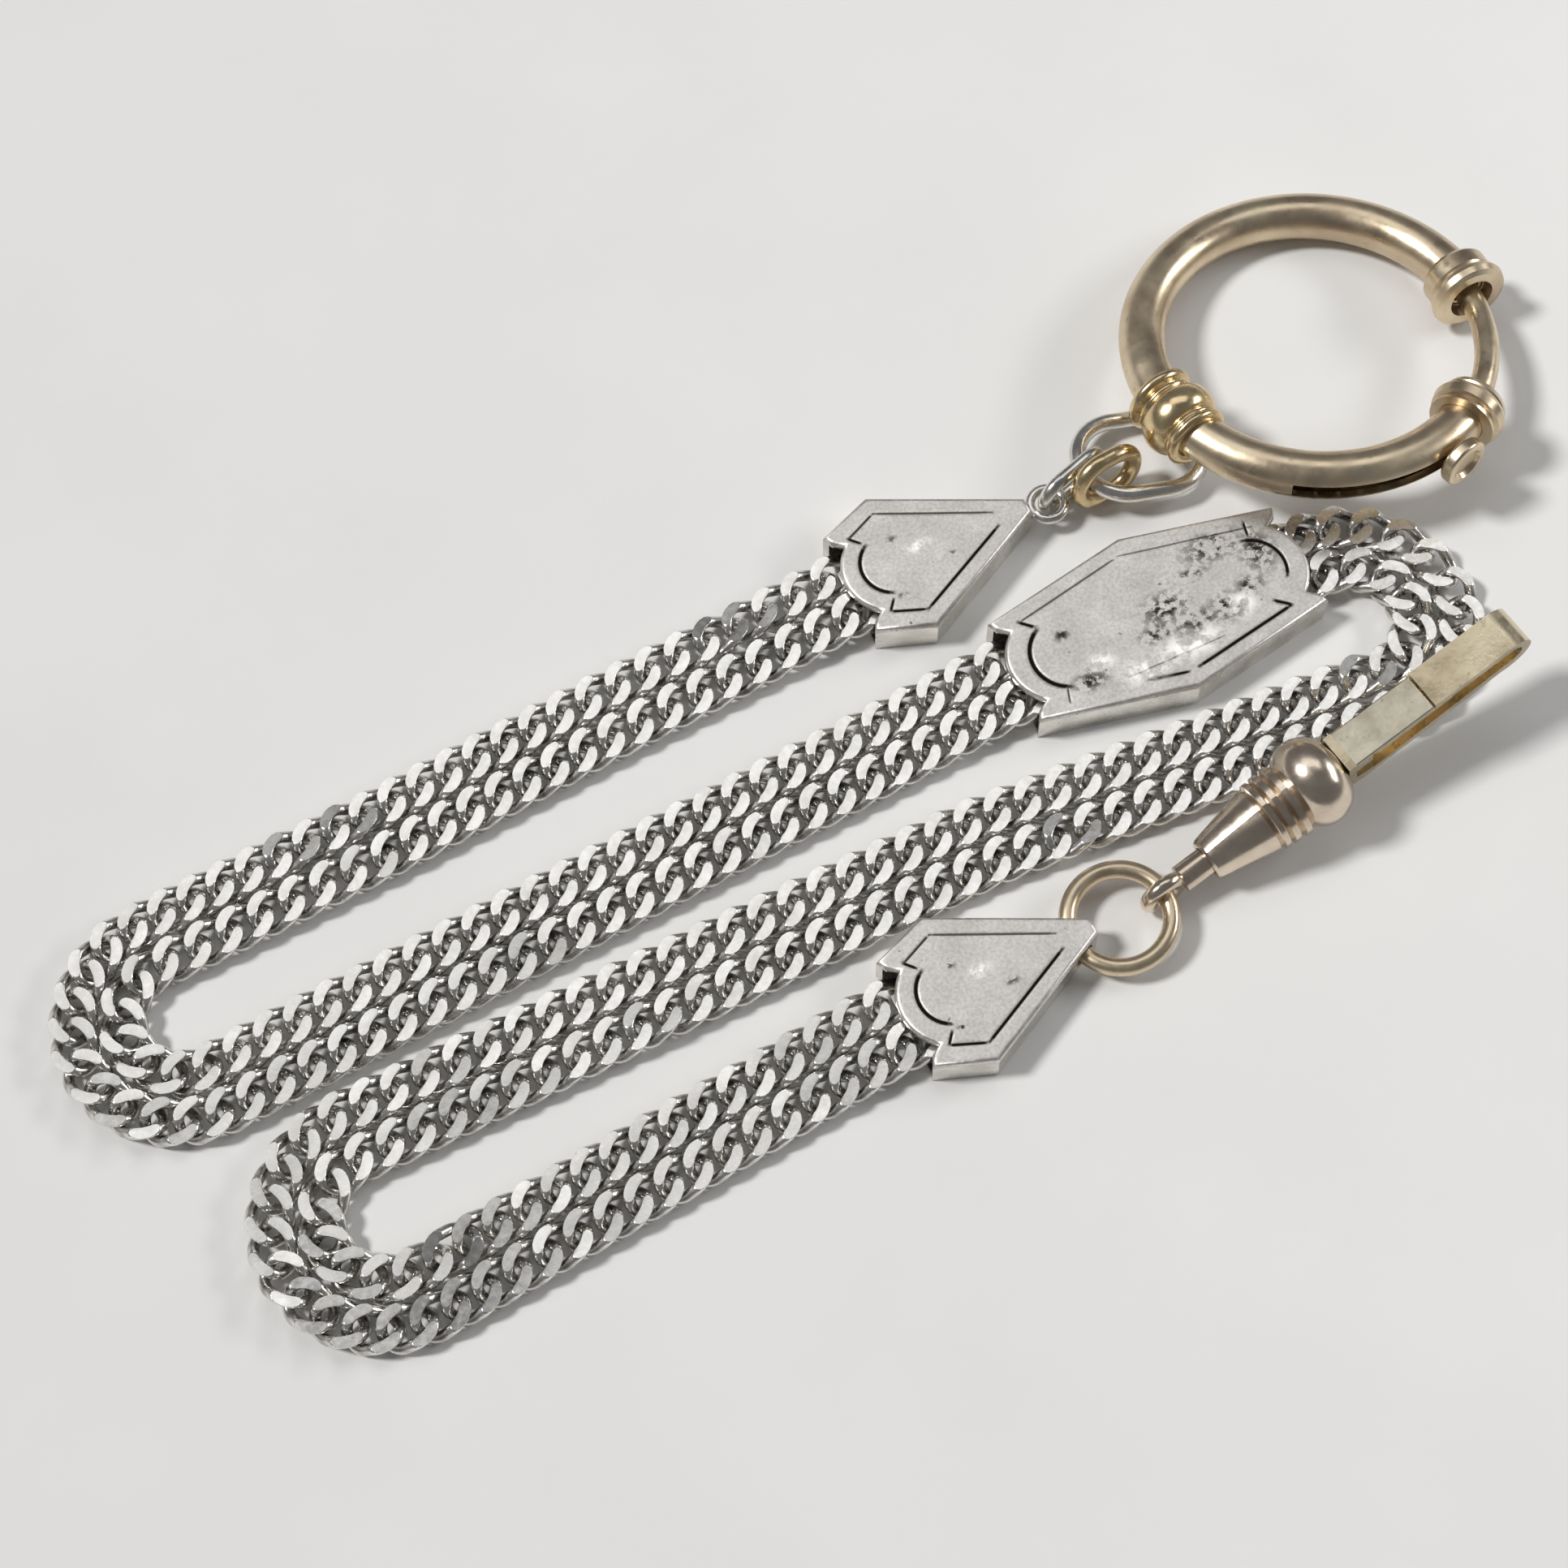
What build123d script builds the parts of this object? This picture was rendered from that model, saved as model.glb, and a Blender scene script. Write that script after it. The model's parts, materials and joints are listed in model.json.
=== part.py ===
"""Pocket watch chain: a double curb chain with three engraved plates, a bolt ring and a swivel.

Row frame: +X along the chain's long runs, +Y away from the front run, +Z up, millimetres.
The chain lies on the plane Z = 0, laid in four runs joined by three turns.
"""
import os
from math import atan2, cos, radians, sin

from build123d import *

os.makedirs("parts", exist_ok=True)

# ---- where the layout's own origin sits in the row frame ---------------------------------
LAYOUT_X = -4.66
LAYOUT_Y = -0.43

# ---- chain links -------------------------------------------------------------------------
WIRE_R = 0.32
LINK_HALF_LENGTH = 1.38
LINK_HALF_WIDTH = 1.0
LINK_TWIST = 1.0
LINK_CORNER_R = 0.9
LINK_PITCH = 1.79
STRAND_OFFSET = 1.34
RUN_Z = 0.75
CLIMB = 5.4

# ---- plates and shields ------------------------------------------------------------------
PLATE_T = 2.15
TOP_T = 0.3
BASE_T = 0.25
WALL = 0.4
BASE_GAP = 0.03
TOP_CHAMFER = 0.2
EAR_HALF = 3.3
NOTCH_IN = 0.85
NOTCH_HALF = 2.3
LOBE_OUT = 0.2
SHIELD_LENGTH = 11.4
SHIELD_SHOULDER = 3.3
SHIELD_HALF = 4.55
SHIELD_TIP_HALF = 0.48
TIP_SOLID = 2.4
TIP_ROOM = 1.05
MIDDLE_HALF_LENGTH = 9.0
MIDDLE_HALF = 5.1
MOUTH_REACH = 0.9
POST_R = 0.38
POST_IN = 0.62
MOUTH_Z = BASE_T + (PLATE_T - TOP_T - BASE_T) / 2
EYE_R = 0.99
EYE_WIRE_R = 0.3
EYE_Z = 1.2
EYE_GAP = 0.01
TIP_HOLE_IN = 1.15
TIP_HOLE_R = 0.74
TIP_HOLE_Z = 1.1

# ---- the layout: ends of runs, centres of turns ------------------------------------------
SHIELD_1 = (8.3, 8.5)
RUN_1_BENDS = [(-7.6, 7.8), (-21.6, 6.9)]
TURN_1 = (-34.9, 1.85)
MIDDLE = (23.0, -0.8)
MIDDLE_YAW = -2.0
TURN_2 = (33.02, -5.72)
RUN_3_KINK = (8.0, -8.3)
TURN_3 = (-29.5, -13.1)
RUN_4_BEND = (-15.7, -16.8)
SHIELD_2 = (-0.6, -15.7)
TURN_R = 4.6
TURN_3_R = 4.75

# ---- links between shield 1 and the bolt ring --------------------------------------------
TIP_LINK_AT = (22.892, 9.097, 1.601)
TIP_LINK_YAW = 16.87
TIP_LINK_HALF = (2.2, 1.15)
TIP_LINK_R = 0.4
OVAL_AT = (27.258, 8.944, 1.236)
OVAL_YAW = -12.27
OVAL_PITCH = 7.84
OVAL_ROLL = -6.33
OVAL_HALF = (3.65, 2.65)
OVAL_R = 0.475

# ---- bolt ring ---------------------------------------------------------------------------
RING_AT = (39.29, 10.22, 2.98)
RING_TILT = 9.5
RING_LEAN_YAW = -19.4
RING_R = 9.91
TUBE_R = 1.35
TUBE_BORE_R = 0.95
MOUTH_ANGLE = -3.0
BOLT_COLLAR_ANGLE = -59.0
SLEEVE_ANGLE = 187.0
BOLT_R = 0.72
BOLT_TIP_ANGLE = -1.0
BOLT_TAIL_ANGLE = -92.0
KNOB_ANGLE = -76.5
BOLT_TRAVEL = 48.0
STEM_R = 0.35
SLOT_HALF = 0.45
KNOB_R = 1.45
KNOB_T = 0.8
SPRING_END_ANGLE = -155.0
SPRING_TURNS = 9
SPRING_WIRE_R = 0.1
SPRING_R = 0.68
SEAT_R = TUBE_R - 0.15
SEAT_GAP = 0.02
RING_EYE_OUT = 14.725
RING_EYE_HALF = (1.899, 1.5)
RING_EYE_WIRE_R = 0.5
RING_EYE_Z = -2.002

# ---- jump ring and swivel ----------------------------------------------------------------
JUMP_R = 2.8
JUMP_WIRE_R = 0.5
JUMP_TILT = 4.0
SWIVEL_AT_ANGLE = 4.0
SWIVEL_YAW = 8.5
SWIVEL_PITCH = 11.5
SWIVEL_EYE_R = 1.04
SWIVEL_EYE_WIRE_R = 0.44
SHANK_R = 0.8
SHANK_END = 5.0
HEAD_R = 1.25
HEAD_T = 0.6
SHANK_GAP = 0.06
BARREL_START = 2.85
BEAD_R = 2.6
BEAD_AT = 10.1
BEAD_FROM = 8.65
HOOK_START = 11.7
HOOK_END = 24.0
HOOK_HALF_HEIGHT = 1.65
HOOK_HALF_WIDTH = 1.15
HOOK_T = 0.6
NOSE_END = 17.5
TONGUE_T = 0.35
TONGUE_END = 18.7
TONGUE_GAP = 0.06
TONGUE_BACK = 0.5
PIN_R = 0.2


def at(x, y, z=0.0):
    """A layout point in the row frame."""
    return Vector(x + LAYOUT_X, y + LAYOUT_Y, z)


def aimed(origin, yaw, pitch=0.0):
    """A frame at a point, turned by yaw about Z and then nose down by pitch."""
    return Location(origin) * Location((0, 0, 0), (0, 0, yaw)) * Location((0, 0, 0), (0, pitch, 0))


def save(part, name):
    part.label = name
    export_step(part, f"parts/{name}.step")


# ---- chain -------------------------------------------------------------------------------
corners = [
    (LINK_HALF_LENGTH, -LINK_HALF_WIDTH, LINK_TWIST),
    (LINK_HALF_LENGTH, LINK_HALF_WIDTH, -LINK_TWIST),
    (-LINK_HALF_LENGTH, LINK_HALF_WIDTH, LINK_TWIST),
    (-LINK_HALF_LENGTH, -LINK_HALF_WIDTH, -LINK_TWIST),
]
with BuildLine() as link_path:
    FilletPolyline(*corners, radius=LINK_CORNER_R, close=True)

with BuildPart() as curb_link:
    for stretch in link_path.line.edges():
        with BuildSketch(Plane(origin=stretch @ 0, z_dir=stretch % 0)):
            Circle(WIRE_R)
        sweep(path=stretch)
LINK = curb_link.part.solids()[0]


def turn_points(centre, radius, start, end, steps=10):
    """Points round a turn, from one angle to another in degrees."""
    angles = [start + (end - start) * k / steps for k in range(steps + 1)]
    return [(centre[0] + radius * cos(radians(a)), centre[1] + radius * sin(radians(a))) for a in angles]


def shifted(points, offset):
    """A plan line moved sideways to the left of its own direction."""
    moved = []
    for k, (x, y) in enumerate(points):
        before = points[max(k - 1, 0)]
        after = points[min(k + 1, len(points) - 1)]
        heading = atan2(after[1] - before[1], after[0] - before[0])
        moved.append((x - offset * sin(heading), y + offset * cos(heading)))
    return moved


def strand(points, offset, climb_start=False, climb_end=False):
    """Links along one strand between two stations; an end may climb into a plate's mouth."""
    line = shifted(points, offset)
    with BuildLine() as path:
        Polyline(*[at(x, y, RUN_Z) for x, y in line])
    length = path.wire().length
    count = round(length / LINK_PITCH)
    links = []
    for k in range(count):
        along = (k + 0.5) / count
        here = path.wire() @ along
        ahead = path.wire() % along
        to_start = along * length
        to_end = (1 - along) * length
        rise = 0.0
        slope = 0.0
        if climb_start and to_start < CLIMB:
            rise = (MOUTH_Z - RUN_Z) * (1 - to_start / CLIMB)
            slope = -(MOUTH_Z - RUN_Z) / CLIMB
        if climb_end and to_end < CLIMB:
            rise = (MOUTH_Z - RUN_Z) * (1 - to_end / CLIMB)
            slope = (MOUTH_Z - RUN_Z) / CLIMB
        direction = Vector(ahead.X, ahead.Y, slope).normalized()
        side = Vector(0, 0, 1).cross(direction).normalized()
        place = Plane(origin=here + Vector(0, 0, rise), x_dir=direction, z_dir=direction.cross(side))
        links.append(LINK.moved(place.location))
    return Compound(links)


def double_strand(name, points, **climbs):
    for side, offset in (("left", STRAND_OFFSET), ("right", -STRAND_OFFSET)):
        save(strand(points, offset, **climbs), f"{name}_{side}_strand")


def mouth(origin, yaw, reach):
    """The station in front of a plate's scalloped end: reach is measured along the plate."""
    return (origin[0] + reach * cos(radians(yaw)), origin[1] + reach * sin(radians(yaw)))


shield_1_station = mouth(SHIELD_1, 0, -MOUTH_REACH)
shield_2_station = mouth(SHIELD_2, 0, -MOUTH_REACH)
middle_left_station = mouth(MIDDLE, MIDDLE_YAW, -MIDDLE_HALF_LENGTH - MOUTH_REACH)
middle_right_station = mouth(MIDDLE, MIDDLE_YAW, MIDDLE_HALF_LENGTH + MOUTH_REACH)

double_strand("run_1_front", [RUN_1_BENDS[0], shield_1_station], climb_end=True)
double_strand("run_1_middle", [RUN_1_BENDS[1], RUN_1_BENDS[0]])
double_strand("run_1_rear", turn_points(TURN_1, TURN_R, 180, 90) + [RUN_1_BENDS[1]])
double_strand("run_2", turn_points(TURN_1, TURN_R, 180, 270) + [middle_left_station], climb_end=True)
double_strand("turn_2", [middle_right_station] + turn_points(TURN_2, TURN_R, 90, 0), climb_start=True)
double_strand(
    "run_3",
    turn_points(TURN_2, TURN_R, 0, -90) + [RUN_3_KINK] + turn_points(TURN_3, TURN_3_R, 90, 180),
)
double_strand("run_4_rear", turn_points(TURN_3, TURN_3_R, 180, 270) + [RUN_4_BEND])
double_strand("run_4_front", [RUN_4_BEND, shield_2_station], climb_end=True)


# ---- plates ------------------------------------------------------------------------------
def end_links(base, facing):
    """The two links held in one mouth; facing is +1 when the mouth opens towards local -X."""
    centre = facing * (-MOUTH_REACH + LINK_PITCH / 2)
    places = [base * Location((centre, y, MOUTH_Z)) for y in (-STRAND_OFFSET, STRAND_OFFSET)]
    return Compound([LINK.moved(place) for place in places])


def anchor_posts(base, facing):
    with BuildPart() as posts:
        with Locations((facing * POST_IN, -STRAND_OFFSET), (facing * POST_IN, STRAND_OFFSET)):
            with Locations((0, 0, BASE_T)):
                Cylinder(POST_R, PLATE_T - TOP_T - BASE_T, align=(Align.CENTER, Align.CENTER, Align.MIN))
    return posts.part.moved(base)


def scallop(x, facing):
    """The chain end's outline, from the far ear to the near ear."""
    return (
        [(x, EAR_HALF), (x + facing * NOTCH_IN * 0.35, NOTCH_HALF + 0.35), (x + facing * NOTCH_IN, NOTCH_HALF)],
        (x - facing * LOBE_OUT, 0),
        [(x + facing * NOTCH_IN, -NOTCH_HALF), (x + facing * NOTCH_IN * 0.35, -NOTCH_HALF - 0.35), (x, -EAR_HALF)],
    )


with BuildSketch() as shield_outline:
    with BuildLine():
        far, lobe, near = scallop(0, 1)
        Polyline(*far)
        ThreePointArc(far[-1], lobe, near[0])
        Polyline(*near)
        Polyline(
            near[-1],
            (SHIELD_SHOULDER, -SHIELD_HALF),
            (SHIELD_LENGTH, -SHIELD_TIP_HALF),
            (SHIELD_LENGTH, SHIELD_TIP_HALF),
            (SHIELD_SHOULDER, SHIELD_HALF),
            far[0],
        )
    make_face()

with BuildSketch() as middle_outline:
    with BuildLine():
        far, lobe, near = scallop(-MIDDLE_HALF_LENGTH, 1)
        Polyline(*far)
        ThreePointArc(far[-1], lobe, near[0])
        Polyline(*near)
        Polyline(near[-1], (0, -MIDDLE_HALF), (MIDDLE_HALF_LENGTH, -EAR_HALF))
        far, lobe, near = scallop(MIDDLE_HALF_LENGTH, -1)
        Polyline(*far)
        ThreePointArc(far[-1], lobe, near[0])
        Polyline(*near)
        Polyline(far[0], (0, MIDDLE_HALF), (-MIDDLE_HALF_LENGTH, EAR_HALF))
    make_face()


def shield_cavity(gap):
    """The room inside a shield, open at the chain end."""
    inset = WALL + gap
    with BuildSketch() as room:
        Polygon(
            (-1, EAR_HALF - inset),
            (0.2, EAR_HALF - inset),
            (SHIELD_SHOULDER, SHIELD_HALF - inset * 1.05),
            (SHIELD_LENGTH - TIP_SOLID, TIP_ROOM - gap),
            (SHIELD_LENGTH - TIP_SOLID, -TIP_ROOM + gap),
            (SHIELD_SHOULDER, -SHIELD_HALF + inset * 1.05),
            (0.2, -EAR_HALF + inset),
            (-1, -EAR_HALF + inset),
            align=None,
        )
    return room.sketch


def middle_cavity(gap):
    """The room inside the middle plate, open at both ends."""
    inset = WALL + gap
    reach = MIDDLE_HALF_LENGTH + 1
    with BuildSketch() as room:
        Polygon(
            (-reach, EAR_HALF - inset),
            (-MIDDLE_HALF_LENGTH + 0.2, EAR_HALF - inset),
            (0, MIDDLE_HALF - inset * 1.03),
            (MIDDLE_HALF_LENGTH - 0.2, EAR_HALF - inset),
            (reach, EAR_HALF - inset),
            (reach, -EAR_HALF + inset),
            (MIDDLE_HALF_LENGTH - 0.2, -EAR_HALF + inset),
            (0, -MIDDLE_HALF + inset * 1.03),
            (-MIDDLE_HALF_LENGTH + 0.2, -EAR_HALF + inset),
            (-reach, -EAR_HALF + inset),
            align=None,
        )
    return room.sketch


def plate_cover(outline, cavity, base):
    with BuildPart() as cover:
        add(outline)
        extrude(amount=PLATE_T)
        chamfer(cover.faces().sort_by(Axis.Z)[-1].edges(), TOP_CHAMFER)
        add(cavity)
        extrude(amount=PLATE_T - TOP_T, mode=Mode.SUBTRACT)
    return cover.part.moved(base)


def plate_base(cavity, start, end, base):
    """The closing sheet, let in between the cover's side walls."""
    with BuildPart() as sheet:
        with BuildSketch():
            add(cavity)
            with Locations(((start + end) / 2, 0)):
                Rectangle(end - start, 20, mode=Mode.INTERSECT)
        extrude(amount=BASE_T)
    return sheet.part.moved(base)


def torus_ring(plane, radius, wire):
    """A round ring lying in the plane."""
    with BuildPart() as ring:
        with BuildSketch(Plane(origin=plane.origin, x_dir=plane.x_dir, z_dir=-plane.y_dir)):
            with Locations((radius, 0)):
                Circle(wire)
        revolve(axis=Axis(plane.origin, plane.z_dir))
    return ring.part


def make_shield(name, place, hole=False):
    """A pentagonal shield; a hole lets a ring pass crosswise through its tip."""
    base = Location(at(*place))
    cover = plate_cover(shield_outline.sketch, shield_cavity(0), base)
    if hole:
        tip = at(place[0] + SHIELD_LENGTH - TIP_HOLE_IN, place[1], TIP_HOLE_Z)
        cover = cover - Cylinder(TIP_HOLE_R, 2 * SHIELD_HALF).moved(Location(tip, (90, 0, 0)))
    save(cover, f"{name}_cover")
    save(plate_base(shield_cavity(BASE_GAP), 0.15, SHIELD_LENGTH, base), f"{name}_base")
    save(anchor_posts(base, 1), f"{name}_anchor_posts")
    save(end_links(base, 1), f"{name}_end_links")


make_shield("shield_1", SHIELD_1)
make_shield("shield_2", SHIELD_2, hole=True)
tip_eye_centre = at(SHIELD_1[0] + SHIELD_LENGTH + EYE_R + EYE_WIRE_R + EYE_GAP, SHIELD_1[1], EYE_Z)
save(torus_ring(Plane(tip_eye_centre), EYE_R, EYE_WIRE_R), "shield_1_tip_eye")

middle_base = Location(at(*MIDDLE), (0, 0, MIDDLE_YAW))
left_mouth = middle_base * Location((-MIDDLE_HALF_LENGTH, 0, 0))
right_mouth = middle_base * Location((MIDDLE_HALF_LENGTH, 0, 0))
save(plate_cover(middle_outline.sketch, middle_cavity(0), middle_base), "middle_plate_cover")
save(
    plate_base(middle_cavity(BASE_GAP), 0.15 - MIDDLE_HALF_LENGTH, MIDDLE_HALF_LENGTH - 0.15, middle_base),
    "middle_plate_base",
)
save(anchor_posts(left_mouth, 1), "middle_plate_left_posts")
save(anchor_posts(right_mouth, -1), "middle_plate_right_posts")
save(end_links(left_mouth, 1), "middle_plate_left_end_links")
save(end_links(right_mouth, -1), "middle_plate_right_end_links")


# ---- the two links before the bolt ring --------------------------------------------------
def long_ring(plane, half_long, half_wide, wire):
    """A ring with two straight sides and round ends, lying in the plane."""
    straight = half_long - half_wide
    with BuildPart() as ring:
        with BuildLine(plane, mode=Mode.PRIVATE) as path:
            CenterArc((straight, 0), half_wide, -90, 180)
            Line((straight, half_wide), (-straight, half_wide))
            CenterArc((-straight, 0), half_wide, 90, 180)
            Line((-straight, -half_wide), (straight, -half_wide))
        for stretch in path.line.edges():
            with BuildSketch(Plane(origin=stretch @ 0, z_dir=stretch % 0)):
                Circle(wire)
            sweep(path=stretch)
    return ring.part


tip_heading = (cos(radians(TIP_LINK_YAW)), sin(radians(TIP_LINK_YAW)), 0)
tip_side = (sin(radians(TIP_LINK_YAW)), -cos(radians(TIP_LINK_YAW)), 0)
TIP_PLANE = Plane(origin=at(*TIP_LINK_AT), x_dir=tip_heading, z_dir=tip_side)
save(long_ring(TIP_PLANE, *TIP_LINK_HALF, TIP_LINK_R), "tip_link")

OVAL_PLANE = Plane(aimed(at(*OVAL_AT), OVAL_YAW, OVAL_PITCH) * Location((0, 0, 0), (OVAL_ROLL, 0, 0)))
save(long_ring(OVAL_PLANE, *OVAL_HALF, OVAL_R), "oval_link")

# ---- bolt ring ---------------------------------------------------------------------------
lean = Location((0, 0, 0), (0, 0, RING_LEAN_YAW)) * Location((0, 0, 0), (-RING_TILT, 0, 0))
RING = Plane(Location(at(*RING_AT)) * lean * Location((0, 0, 0), (0, 0, -RING_LEAN_YAW)))
RING_AXIS = Axis(RING.origin, RING.z_dir)


def section(angle):
    """The plane that cuts the ring at an angle: x outward, y up, z back along the ring."""
    return RING.location * Location((0, 0, 0), (0, 0, angle)) * Location((0, 0, 0), (90, 0, 0))


def section_plane(angle):
    return Plane(section(angle))


def tangent_plane(angle):
    """At the tube's centre line, z along the tube towards growing angles, x outward."""
    return Plane(section(angle) * Location((RING_R, 0, 0), (0, 180, 0)))


with BuildPart() as ring_tube:
    with BuildSketch(section_plane(MOUTH_ANGLE)):
        with Locations((RING_R, 0)):
            Circle(TUBE_R)
            Circle(TUBE_BORE_R, mode=Mode.SUBTRACT)
    revolve(axis=RING_AXIS, revolution_arc=360 + BOLT_COLLAR_ANGLE - MOUTH_ANGLE)
    with BuildSketch(section_plane(KNOB_ANGLE - BOLT_TRAVEL - 3)):
        with Locations((RING_R + TUBE_R, 0)):
            Rectangle(1.2, 2 * SLOT_HALF)
    revolve(axis=RING_AXIS, revolution_arc=BOLT_TRAVEL + 6, mode=Mode.SUBTRACT)
save(ring_tube.part, "ring_tube")

with BuildPart() as sliding_bolt:
    with BuildSketch(section_plane(BOLT_TAIL_ANGLE)):
        with Locations((RING_R, 0)):
            Circle(BOLT_R)
    revolve(axis=RING_AXIS, revolution_arc=BOLT_TIP_ANGLE - BOLT_TAIL_ANGLE)
save(sliding_bolt.part, "sliding_bolt")

KNOB_PLANE = Plane(section(KNOB_ANGLE) * Location((RING_R, 0, 0), (0, 90, 0)))
KNOB_FROM = TUBE_R + 0.12
with BuildPart() as thumb_knob:
    with BuildSketch(KNOB_PLANE.offset(BOLT_R - 0.05)):
        Circle(STEM_R)
    extrude(amount=KNOB_FROM - BOLT_R + 0.15)
    with BuildSketch(KNOB_PLANE.offset(KNOB_FROM)):
        Circle(KNOB_R)
    extrude(amount=KNOB_T)
    fillet(thumb_knob.edges().filter_by(GeomType.CIRCLE).group_by(SortBy.RADIUS)[-1], 0.2)
    with BuildSketch(KNOB_PLANE.offset(KNOB_FROM + KNOB_T)):
        Circle(KNOB_R - 0.45)
    extrude(amount=-0.25, taper=35, mode=Mode.SUBTRACT)
thumb_knob.part = thumb_knob.part - sliding_bolt.part
save(thumb_knob.part, "thumb_knob")


def turned(plane, points):
    """A turned piece: (along, radius) points round the plane's z axis."""
    with BuildPart() as piece:
        with BuildSketch(Plane(origin=plane.origin, x_dir=plane.x_dir, z_dir=-plane.y_dir)):
            with BuildLine():
                Polyline(*[(radius, along) for along, radius in points], close=True)
            make_face()
        revolve(axis=Axis(plane.origin, plane.z_dir))
    return piece.part


def seated(blank, from_angle, arc):
    """Cut the tube's own bent seat out of a turned blank."""
    with BuildPart() as piece:
        add(blank)
        with BuildSketch(section_plane(from_angle)):
            with Locations((RING_R, 0)):
                Circle(TUBE_R + SEAT_GAP)
        revolve(axis=RING_AXIS, revolution_arc=arc, mode=Mode.SUBTRACT)
    return piece.part


mouth_blank = turned(
    tangent_plane(MOUTH_ANGLE),
    [(1.5, SEAT_R), (1.5, 1.75), (1.2, 2.0), (0.3, 2.0), (0.1, 1.85), (-0.1, 2.2), (-0.4, 2.3), (-0.75, 2.2),
     (-0.9, 1.9), (-0.9, 1.35), (-0.2, SEAT_R)],
)
save(seated(mouth_blank, MOUTH_ANGLE - 0.3, 15), "mouth_collar")

bolt_blank = turned(
    tangent_plane(BOLT_COLLAR_ANGLE),
    [(-1.1, SEAT_R), (-1.1, 1.95), (-0.9, 1.95), (-0.75, 1.75), (-0.6, 2.1), (-0.1, 2.2), (0.15, 2.1),
     (0.25, 1.8), (0.45, 1.95), (0.75, 1.85), (0.8, 1.5), (0.8, 0.86), (0.1, 0.86), (0.1, SEAT_R)],
)
save(seated(bolt_blank, BOLT_COLLAR_ANGLE - 15, 15.3), "bolt_collar")

sleeve_blank = turned(
    tangent_plane(SLEEVE_ANGLE),
    [(-2.0, 0.2), (-2.0, 1.8), (-1.8, 2.05), (-1.5, 2.15), (-1.15, 2.0), (-0.9, 1.75), (-0.6, 2.1),
     (0.1, 2.3), (0.7, 2.3), (1.3, 2.1), (1.6, 1.75), (1.75, 1.95), (2.0, 1.9), (2.1, 1.7), (2.1, 0.2)],
)
save(seated(sleeve_blank, SLEEVE_ANGLE - 20, 40), "ring_sleeve")

ring_eye_plane = Plane(section(SLEEVE_ANGLE) * Location((RING_EYE_OUT, RING_EYE_Z, 0)))
save(long_ring(ring_eye_plane, *RING_EYE_HALF, RING_EYE_WIRE_R), "ring_eye")

# The spring pushes the bolt's tail away from a stop inside the tube.
with BuildPart() as spring_stop:
    with BuildSketch(section_plane(SPRING_END_ANGLE - 3)):
        with Locations((RING_R, 0)):
            Circle(TUBE_BORE_R - 0.02)
    revolve(axis=RING_AXIS, revolution_arc=2.5)
save(spring_stop.part, "spring_stop")

spring_steps = SPRING_TURNS * 8
spring_points = []
for k in range(spring_steps + 1):
    share = k / spring_steps
    angle = SPRING_END_ANGLE + 1.3 + (BOLT_TAIL_ANGLE - SPRING_END_ANGLE - 2.6) * share
    spin = 360 * SPRING_TURNS * share
    out = RING_R + SPRING_R * cos(radians(spin))
    spring_points.append(
        RING.from_local_coords(
            Vector(out * cos(radians(angle)), out * sin(radians(angle)), SPRING_R * sin(radians(spin)))
        )
    )
with BuildPart() as bolt_spring:
    with BuildLine() as coil:
        Spline(*spring_points)
    with BuildSketch(Plane(origin=coil.line @ 0, z_dir=coil.line % 0)):
        Circle(SPRING_WIRE_R)
    sweep()
save(bolt_spring.part, "bolt_spring")

# ---- jump ring and swivel ----------------------------------------------------------------
jump_from = at(SHIELD_2[0] + SHIELD_LENGTH - TIP_HOLE_IN, SHIELD_2[1], TIP_HOLE_Z)
jump_centre = jump_from + Vector(JUMP_R * cos(radians(JUMP_TILT)), 0, JUMP_R * sin(radians(JUMP_TILT)))
JUMP_PLANE = Plane(aimed(jump_centre, 0, -JUMP_TILT))
save(torus_ring(JUMP_PLANE, JUMP_R, JUMP_WIRE_R), "jump_ring")

swivel_from = JUMP_PLANE.from_local_coords(Vector(JUMP_R * cos(radians(SWIVEL_AT_ANGLE)), JUMP_R * sin(radians(SWIVEL_AT_ANGLE)), 0))
SWIVEL = Plane(aimed(swivel_from, SWIVEL_YAW, -SWIVEL_PITCH))
SWIVEL_SIDE = Plane(origin=SWIVEL.origin, x_dir=SWIVEL.x_dir, z_dir=-SWIVEL.y_dir)
SWIVEL_END = Plane(origin=SWIVEL.origin, x_dir=SWIVEL.y_dir, z_dir=SWIVEL.x_dir)
SWIVEL_AXIS = Axis(SWIVEL.origin, SWIVEL.x_dir)

with BuildPart() as swivel_eye:
    add(torus_ring(SWIVEL_SIDE, SWIVEL_EYE_R, SWIVEL_EYE_WIRE_R))
    with BuildSketch(SWIVEL_END.offset(SWIVEL_EYE_R + 0.1)):
        Circle(SHANK_R)
    extrude(amount=SHANK_END - SWIVEL_EYE_R - 0.1)
    with BuildSketch(SWIVEL_END.offset(SHANK_END - HEAD_T)):
        Circle(HEAD_R)
    extrude(amount=HEAD_T)
    with BuildSketch(SWIVEL_SIDE):
        Circle(SWIVEL_EYE_R - SWIVEL_EYE_WIRE_R + 0.02)
    extrude(amount=SHANK_R, both=True, mode=Mode.SUBTRACT)
save(swivel_eye.part, "swivel_eye")

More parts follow.
